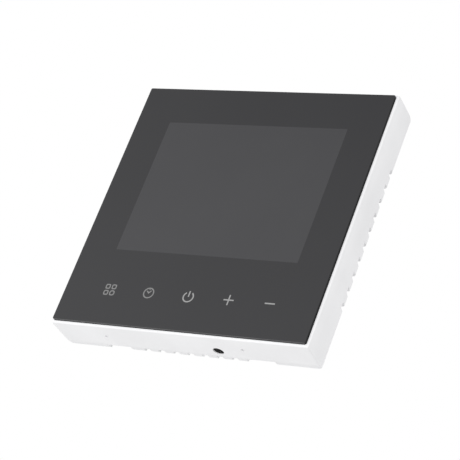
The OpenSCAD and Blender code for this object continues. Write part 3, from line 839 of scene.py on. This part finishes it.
def add_pins():
    """Pin strip with one waisted segment for each pin, and square pins with pointed ends."""
    low, high = span("pin_header")
    pitch, z = (high.x - low.x) / PINS, (low.z + high.z) / 2
    places = [low.x + (i + 0.5) * pitch for i in range(PINS)]
    strip, pins = Shape(), Shape()
    for x in places:
        outline = rounded_outline(x, z, pitch - 0.02, high.z - low.z, 0.45, 1)
        strip.prism(outline, low.y, high.y - low.y, 0.08, 1)
    strip.make("pin_strip", PANEL, "black_plastic", "pin_header", "chip_black")
    low, high = span("header_pins")
    corner = (high.z - low.z) / math.sqrt(2)
    for x in places:
        pins.turned([(corner, 0), (corner, high.y - low.y - 0.6), (corner * 0.4, high.y - low.y)],
                    (x, low.y, z), sides=4, start=0.5)
    pins.make("square_pins", PANEL, "gold_plate", "header_pins", "gold_plate")


# ---- Circuit boards ----

TRACK_WIDTH, TRACK_THICK = 0.3, 0.035
LEGS, LEG_PITCH = 12, 0.66  # leads on each side of the controller chip


def add_joint(shape, x, z, y, face, finish):
    """Solder joint: a small cone round a lead, standing out from y."""
    cone = [(0.85, 0), (0.55, 0.18), (0.35, 0.5), (0.25, 0.85), (0, 0.9)]
    shape.turned(cone, (x, y, z), (0, face, 0), 12, finish)


def controller_leg(side, number):
    """Centre line of one lead, from the package out and down to the board, and its direction."""
    low, high = span("controller_chip")
    centre, reach = (low + high) / 2, (high.x - low.x) / 2
    out = Vector((math.cos(side * math.pi / 2), 0, math.sin(side * math.pi / 2)))
    along = Vector((-out.z, 0, out.x))
    rise = ((reach - 0.75, 0.62), (reach - 0.45, 0.6), (reach - 0.35, 0.1), (reach, 0.08))
    base = Vector((centre.x, low.y, centre.z)) + along * (number - (LEGS - 1) / 2) * LEG_PITCH
    return [base + out * u + Vector((0, v, 0)) for u, v in rise], along


def add_controller():
    """Square chip with twelve bent leads on each side, on the rear of the front board."""
    low, high = span("controller_chip")
    body = rounded_outline((low.x + high.x) / 2, (low.z + high.z) / 2, 8.6, 8.6, 0.35, 1)
    shape, dot = Shape(), (low.x + 2, high.y - 0.01, high.z - 2)
    shape.prism(body, low.y + 0.12, high.y - low.y - 0.12, 0.22, 1)
    shape.turned([(0.5, 0), (0.5, 0.02), (0, 0.02)], dot, sides=20, finish=2)
    for side in range(4):
        for number in range(LEGS):
            path, along = controller_leg(side, number)
            shape.swept(rounded_path(path, 0.15, 2), oblong(0.07, 0.15), along, finish=1)
    shape.make("controller_package", PANEL, "chip_black tinned_wire black_plastic",
               "controller_chip", "chip_black")


def add_radio():
    """Radio module: carrier with half-round edge pads, a pressed shield and a printed antenna."""
    low, high = span("wifi_module")
    top, shield_top = low.y + 0.8, high.z - 7
    shape = Shape()
    shape.block(low, (high.x, top, high.z), 0.06, 1)
    shape.block((low.x + 1, top, low.z + 1), (high.x - 1, high.y, shield_top), 0.35, 3, 1)
    shape.block((low.x + 0.85, top, low.z + 0.85),
                (high.x - 0.85, top + 0.4, shield_top + 0.15), 0.1, 1, 1)
    for z in spread(low.z + 1.5, shield_top - 0.5, 11):
        for x in (low.x, high.x):
            shape.block((x - 0.05, low.y, z - 0.4), (x + 0.05, top + 0.03, z + 0.4), 0, finish=2)
            inward = 0.7 if x == low.x else -0.7
            shape.block((x, top, z - 0.4), (x + inward, top + 0.03, z + 0.4), 0, finish=2)
    ends, points = (shield_top + 1.6, high.z - 1.2), []
    for i, x in enumerate(spread(low.x + 1.5, high.x - 1.5, 12)):
        points += [(x, ends[i % 2]), (x, ends[1 - i % 2])]
    shape.strip(points, 0.45, top, 0.04, finish=2)
    shape.make("radio_module", PANEL, "board_green tin_shield gold_plate",
               "wifi_module", "tin_shield")


def add_buzzer():
    """Round can with a sound hole, a groove round its top and a foot."""
    low, high = span("buzzer")
    radius, tall, centre = (high.x - low.x) / 2, high.y - low.y, (low + high) / 2
    groove = tall - 0.12
    profile = [(0, tall - 1.2), (1, tall - 1.2), (1, tall - 0.1), (1.1, tall),
               (radius * 0.62, tall), (radius * 0.64, groove), (radius * 0.7, groove),
               (radius * 0.72, tall), (radius - 0.3, tall), (radius, tall - 0.3), (radius, 0.5),
               (radius - 0.15, 0.4), (radius - 0.15, 0), (0, 0)]
    shape = Shape()
    shape.turned(profile, (centre.x, low.y, centre.z), sides=48)
    shape.make("buzzer_can", PANEL, "black_plastic", "buzzer", "chip_black")


def add_status_light():
    """Side-facing lamp over its pinhole: white body, clear domed lens and two tinned ends."""
    low, high = span("status_led")
    centre = (low + high) / 2
    shape = Shape()
    shape.block((low.x + 0.35, low.y, low.z + 0.4), (high.x - 0.35, high.y, high.z), 0.1)
    for x in (low.x, high.x - 0.4):
        shape.block((x, low.y + 0.3, low.z + 0.4), (x + 0.4, high.y, high.z), 0.06, 1, 1)
    dome = [(0.55, 0), (0.5, 0.2), (0.3, 0.36), (0, 0.4)]
    shape.turned(dome, (centre.x, centre.y, low.z + 0.4), (0, 0, -1), 20, 2)
    shape.make("status_lamp", PANEL, "led_body tinned_wire light_guide", "status_led", "led_body")


def add_front_board_details():
    """Tracks, small parts and solder on the rear of the front board, and pads under the springs."""
    (low, high), (chip_low, chip_high) = span("front_board"), span("controller_chip")
    rear = high.y
    tracks, pads, ceramic, black, solder = range(5)
    shape = Shape()

    def track(*points):
        """Track on the rear of the board, with short sloping corners."""
        path = rounded_path([(x, rear, z) for x, z in points], 0.6, 1)
        shape.strip([(p.x, p.z) for p in path], TRACK_WIDTH, rear, TRACK_THICK, finish=tracks)

    def chip(x, z, size, upright, body):
        """Small surface-mounted part with a tinned cap at each end."""
        long, wide, tall = size
        for start, stop, grow, finish in ((-0.5, -0.3, 0.03, solder), (-0.4, 0.4, 0, body),
                                          (0.3, 0.5, 0.03, solder)):
            side, a, b = wide / 2 + grow, start * long, stop * long
            x0, z0, x1, z1 = (-side, a, side, b) if upright else (a, -side, b, side)
            shape.block((x + x0, rear, z + z0), (x + x1, rear + tall + grow, z + z1),
                        0.08, 1, finish)

    header_low, header_high = span("pin_header")
    pitch = (header_high.x - header_low.x) / PINS
    for i in range(PINS):
        x, lane = header_low.x + (i + 0.5) * pitch, header_high.z + 2 + 0.5 * (PINS - 1 - i)
        column, leg = chip_low.x - 4 + 0.5 * i, controller_leg(2, 4 + i)[0][-1]
        track((x, header_high.z), (x, lane), (column, lane), (column, leg.z), (leg.x, leg.z))
    for i, (x, z) in enumerate(key_places()):
        leg = controller_leg(3, 2 + i)[0][-1]
        lane = leg.z - 36 - 0.9 * i
        track((leg.x, leg.z), (leg.x, lane), (x, lane), (x, z + 4))
        shape.ring(circle(0.5, 16, x, z + 4), circle(0.2, 16, x, z + 4), rear, 0.05, pads)
        shape.ring(circle(3.3, 32, x, z), circle(2, 32, x, z), low.y - 0.03, 0.05, pads)
    radio_low, radio_high = span("wifi_module")
    for i, z in enumerate(spread(radio_high.z - 8.7, radio_high.z - 7.5, 3)):
        leg = controller_leg(2, 3 - i)[0][-1]
        jog = chip_low.x - 8 - 0.6 * i
        track((radio_high.x, z), (jog, z), (jog, leg.z), (leg.x, leg.z))
    small, large = (1.6, 0.8, 0.55), (2.4, 1.3, 0.9)
    for z in spread(chip_low.z + 0.5, chip_high.z - 0.5, 5):
        chip(chip_high.x + 2.4, z, small, False, ceramic)
        chip(chip_high.x + 5.6, z, small, False, black)
    for x in spread(chip_low.x + 0.5, chip_high.x - 0.5, 5):
        chip(x, chip_high.z + 2.2, small, True, black)
    for x in spread(radio_low.x + 2, radio_high.x - 1, 5):
        chip(x, radio_low.z - 2.6, large, True, ceramic)
    for x, z in key_places():
        chip(x + 3, z + 4.4, small, False, black)
    # Voltage regulator with its tab, and the crystal beside the chip
    shape.block((-33.5, rear + 0.05, -14), (-27, rear + 1.7, -10.4), 0.2, 2, black)
    shape.block((-32, rear, -10.6), (-28.5, rear + 0.3, -8.8), 0.05, 1, solder)
    for x in (-32.5, -30.25, -28):
        shape.block((x - 0.35, rear, -15.4), (x + 0.35, rear + 0.3, -13.8), 0.05, 1, solder)
    crystal = rounded_outline(chip_low.x + 4, chip_low.z - 4.5, 4.6, 2.2, 1.0, 6)
    shape.prism(crystal, rear, 1.3, 0.25, 2, solder)
    # Vias in rows, and the solder on the sensor's wires and the pin strip
    for x in spread(-18, 8, 14):
        for z in (6, 3.5):
            shape.ring(circle(0.42, 14, x, z), circle(0.2, 14, x, z), rear, 0.04, pads)
    wires = span("sensor_leads")[1]
    for x in (wires.x - WIRE_INSETS[0], wires.x - WIRE_INSETS[1]):
        add_joint(shape, x, wires.z - 0.6, rear, 1, solder)
    for x in spread(header_low.x + pitch / 2, header_high.x - pitch / 2, PINS):
        add_joint(shape, x, (header_low.z + header_high.z) / 2, low.y, -1, solder)
    finishes = "board_track gold_plate capacitor_tan chip_black solder"
    shape.make("front_board_details", PANEL, finishes, slot="board_green")


def add_power_board_details():
    """Solder joints and wide tracks on the front of the power board."""
    front, tracks, solder = span("power_board")[0].y, 0, 1
    shape = Shape()
    joints = [(x, -6 + 2.4 * (i % 2)) for i, x in enumerate(spread(-11, 11, 5))]
    joints += [(x, z) for x in spread(-10, -2.6, 4) for z in (6.6, 15.4)]
    joints += [(4.1, 8.8), (6.7, 8.8), (3.2, 16.8), (11.8, 16.8), (12.6, 6.4), (12.6, 10.8),
               (-17.3, -11.5), (-17.3, -2.5)]
    low, high = span("terminal_bars")
    places, row = spread(low.x + 1, high.x - 1, len(TERMINALS)), high.z - 0.4
    for x, z in joints + [(x, row) for x in places]:
        add_joint(shape, x, z, front, -1, solder)
    runs = [[(x, row), (x, high.z + 2.6)] for x in places]
    runs += [[(-17.3, -11.5), (-17.3, -2.5)], [(6.7, 8.8), (12.6, 10.8)],
             [(3.2, 16.8), (11.8, 16.8)], [(-10, 6.6), (-2.6, 6.6)], [(-11, -6), (-16, -6)],
             [(11, -6), (16.5, -6), (16.5, 4)], [(4.1, 8.8), (-2.6, 8.8)]]
    for run in runs:
        shape.strip(run, 1.4, front - TRACK_THICK, TRACK_THICK, finish=tracks)
    shape.make("power_board_details", BASE, "board_track solder", slot="board_green")


# ---- Parts on the power board ----


def add_relay():
    """Inside of the relay: base with the fixed contact on its bracket, and coil on its bobbin."""
    low, high = span("relay_base")
    centre, floor = (low.z + high.z) / 2, low.y + 1.4
    shape = Shape()
    shape.block(low, (high.x, floor, high.z), 0.2)
    x, top = high.x - 2, high.y - 0.75
    shape.swept(rounded_path([(x, floor, centre), (x, top, centre), (x - 2.7, top, centre)], 0.6),
                oblong(0.25, 1.8), (0, 0, 1), finish=1)
    contact = [(1.3, 0), (1.3, 0.2), (1.0, 0.42), (0, 0.5)]
    shape.turned(contact, (x - 1.3, top + 0.25, centre), sides=24, finish=2)
    shape.make("relay_contact_base", BASE, "black_plastic terminal_brass tinned_wire",
               "relay_base", "chip_black")
    low, high = span("relay_coil")
    rim, core, tall, flange = (high.x - low.x) / 2, 1.7, high.y - low.y, 0.8
    centre = ((low.x + high.x) / 2, low.y, (low.z + high.z) / 2)
    half = [(core, 0), (rim - 0.1, 0), (rim, 0.1), (rim, flange - 0.1), (rim - 0.1, flange),
            (2.4, flange)]
    bobbin = half + [(r, tall - h) for r, h in reversed(half)] + [(core, 0)]
    wire, outer = 0.3, rim - 0.42
    rows = int((tall - 2 * flange) / wire)
    start = (tall - rows * wire) / 2
    winding = [(2.4, start)]
    for i in range(rows):
        y = start + i * wire
        crest = outer + 0.09
        winding += [(outer, y + 0.02), (crest, y + wire * 0.3), (crest, y + wire * 0.7)]
    winding += [(outer, tall - start), (2.4, tall - start), (2.4, start)]
    coil = Shape()
    coil.turned(bobbin, centre, sides=48)
    coil.turned(winding, centre, sides=48, finish=1)
    coil.make("relay_bobbin", BASE, "holder_white copper_winding",
              "relay_coil", "copper_winding", 50)


def add_transformer():
    """Winding ring: two bobbin flanges with layers of tape between them, on a pinned base."""
    low, high = span("transformer_winding")
    core_low, core_high = span("transformer_core")
    centre_x, centre_z = (core_low.x + core_high.x) / 2, (low.z + high.z) / 2
    hole = rounded_outline(centre_x, centre_z, 5, 6.8, 0.2)
    start, stop = high.y - 5.6, high.y
    shape = Shape()
    layers = ((start, 0.5, 0, 1), (start + 0.5, 1.5, 0.5, 0), (start + 2.0, 1.6, 0.35, 0),
              (start + 3.6, 1.5, 0.55, 0), (stop - 0.5, 0.5, 0, 1))
    for y, thickness, inset, finish in layers:
        outline = rounded_outline(centre_x, centre_z, 7.8 - inset / 2, 12 - inset * 2, 1.4)
        shape.ring(outline, hole, y, thickness - 0.01, finish)
    shape.block(low, (high.x, start - 2.3, high.z), 0.3, 2, 1)
    for x in spread(centre_x - 2.6, centre_x + 2.6, 4):
        for z, inward in ((low.z + 0.35, 1), (high.z - 0.35, -1)):
            path = [(x, start - 2.4, z), (x, start - 0.6, z), (x, start + 0.1, z + inward * 0.7)]
            shape.wire(rounded_path(path, 0.5), 0.22, 8, 2)
    shape.make("transformer_ring", BASE, "yellow_tape black_plastic tinned_wire",
               "transformer_winding", "yellow_tape")


def add_capacitors():
    """Smoothing capacitor in a sleeve with a light stripe, and a dipped film capacitor."""
    low, high = span("smoothing_capacitor")
    radius, tall = (high.x - low.x) / 2, high.y - low.y
    centre = Vector(((low.x + high.x) / 2, low.y, (low.z + high.z) / 2))
    sleeve = [(0, 0), (radius - 0.6, 0), (radius - 0.55, 0.3), (radius - 0.1, 0.45), (radius, 0.8),
              (radius, 1.4), (radius - 0.25, 1.75), (radius - 0.28, 2.0), (radius - 0.25, 2.25),
              (radius, 2.6), (radius, tall - 0.6), (radius - 0.2, tall - 0.15),
              (radius - 0.6, tall), (radius - 0.68, tall - 0.3)]
    disc, under, over = radius - 0.7, tall - 0.4, tall - 0.14
    shape, top, vent = Shape(), Shape(), Shape()
    shape.turned(sleeve, centre, sides=48)
    for face in shape.mesh.faces:
        away = face.calc_center_median() - centre
        if away.x > 0.75 * radius and 0.6 < away.y < tall - 0.3:
            face.material_index = 1
    top.turned([(0, under), (disc, under), (disc, over), (0, over)], centre, sides=40, finish=2)
    for sx, sz in ((2.2, 0.09), (0.09, 2.2)):
        vent.block((centre.x - sx, high.y - 0.25, centre.z - sz),
                   (centre.x + sx, high.y + 1, centre.z + sz), 0, finish=2)
    top.cut(vent)
    shape.absorb(top.mesh)
    shape.make("smoothing_can", BASE, "capacitor_sleeve sleeve_stripe tinned_wire",
               "smoothing_capacitor", "capacitor_sleeve")
    low, high = span("film_capacitor")
    film, z = Shape(), (low.z + high.z) / 2
    film.block((low.x, low.y + 0.5, low.z), high, 0.7, 4)
    for x in (low.x + 1.4, high.x - 1.4):
        film.wire([(x, low.y, z), (x, low.y + 0.8, z)], 0.3, 10, 1)
    film.make("film_box", BASE, "capacitor_yellow tinned_wire",
              "film_capacitor", "capacitor_yellow")


def add_varistor():
    """Dipped disc that bulges in the middle, with resin run down onto its two leads."""
    low, high = span("varistor")
    thick, radius = high.x - low.x, (high.z - low.z) / 2
    centre = Vector((low.x, high.y - radius, (low.z + high.z) / 2))
    share = ((0, 0.06), (0.45, 0.03), (0.78, 0.1), (0.93, 0.24), (0.99, 0.4), (1, 0.5))
    profile = [(radius * r, thick * h) for r, h in share]
    profile += [(r, thick - h) for r, h in reversed(profile[:-1])]
    shape = Shape()
    shape.turned(profile, centre, (1, 0, 0), 48)
    for side in (-1, 1):
        x, z = low.x + thick / 2, centre.z + side * radius / 2
        shape.wire([(x, low.y, z), (x, low.y + 2.2, z)], 0.32, 10, 1)
        run = [(0.36, 0), (0.55, 0.5), (0.85, 1.4), (0.9, 2.4)]
        shape.turned(run, (x, low.y + 0.9, z), sides=16)
    shape.make("varistor_disc", BASE, "varistor_blue tinned_wire", "varistor", "varistor_blue", 60)


def add_fuse():
    """Ceramic tube with pressed end caps in two clips."""
    low, high = span("fuse")
    radius, long, x = (high.x - low.x) / 2, high.z - low.z, (low.x + high.x) / 2
    axis, cap, wall = high.y - radius, 1.8, 0.2
    tube = [(0, 0.3), (radius - wall, 0.3), (radius - wall, long - 0.3), (0, long - 0.3)]
    ferrule = [(0, 0), (radius - 0.35, 0), (radius - 0.1, 0.1), (radius, 0.35),
               (radius, cap - 0.15), (radius - 0.12, cap), (0, cap)]
    shape = Shape()
    shape.turned(tube, (x, axis, low.z), (0, 0, 1), 32)
    for start, turn in ((low.z, 1), (high.z, -1)):
        shape.turned(ferrule, (x, axis, start), (0, 0, turn), 32, 1)
        mid = start + turn * cap / 2
        shape.block((x - 0.5, low.y, mid - 0.3), (x + 0.5, axis - radius * 0.6, mid + 0.3),
                    0.08, 1, 1)
    shape.make("fuse_link", BASE, "fuse_ceramic tinned_wire", "fuse", "fuse_ceramic")


# ---- Assembly ----

FINISHES = make_finishes()
add_studio()
for node, finish, edge in (
    ("front_frame", "frame_white", 0.12), ("glass_tape", "foam_tape", 0.05),
    ("lcd_holder", "holder_white", 0.15), ("front_board", "board_green", 0.1),
    ("reset_switch", "tin_shield", 0.12), ("reset_plunger", "black_plastic", 0.15),
    ("mounting_plate", "zinc_steel", 0.12), ("latch_springs", "spring_steel", 0.06),
    ("rear_box", "box_plastic", 0.3), ("power_board", "board_green", 0.1),
    ("pin_socket", "black_plastic", 0.12), ("relay_yoke", "relay_iron", 0.12),
    ("relay_armature", "relay_iron", 0.1), ("relay_case", "relay_blue", 0.35),
    ("transformer_core", "ferrite", 0.2), ("terminal_block", "terminal_green", 0.15),
    ("terminal_bars", "terminal_brass", 0.12),
    *((f"terminal_clamp_{i}", "terminal_brass", 0.12) for i in TERMINALS),
):
    dress(node, finish, edge)
add_glass()
add_sensor()
add_display()
add_backlight()
add_flex()
add_springs()
add_cross_screws("front_board_screws", PANEL, 1, (2.2, 1.2), (0.95, 4.4, 0.55), 2)
add_cross_screws("box_screws", BASE, -1, (2.3, 1.4), (1.15, 10, 0.7), 2)
add_cross_screws("power_board_screws", BASE, -1, (1.9, 1.1), (0.95, 7, 0.55), 1)
add_terminal_screws()
add_pins()
add_controller()
add_radio()
add_buzzer()
add_status_light()
add_front_board_details()
add_power_board_details()
add_relay()
add_transformer()
add_capacitors()
add_varistor()
add_fuse()
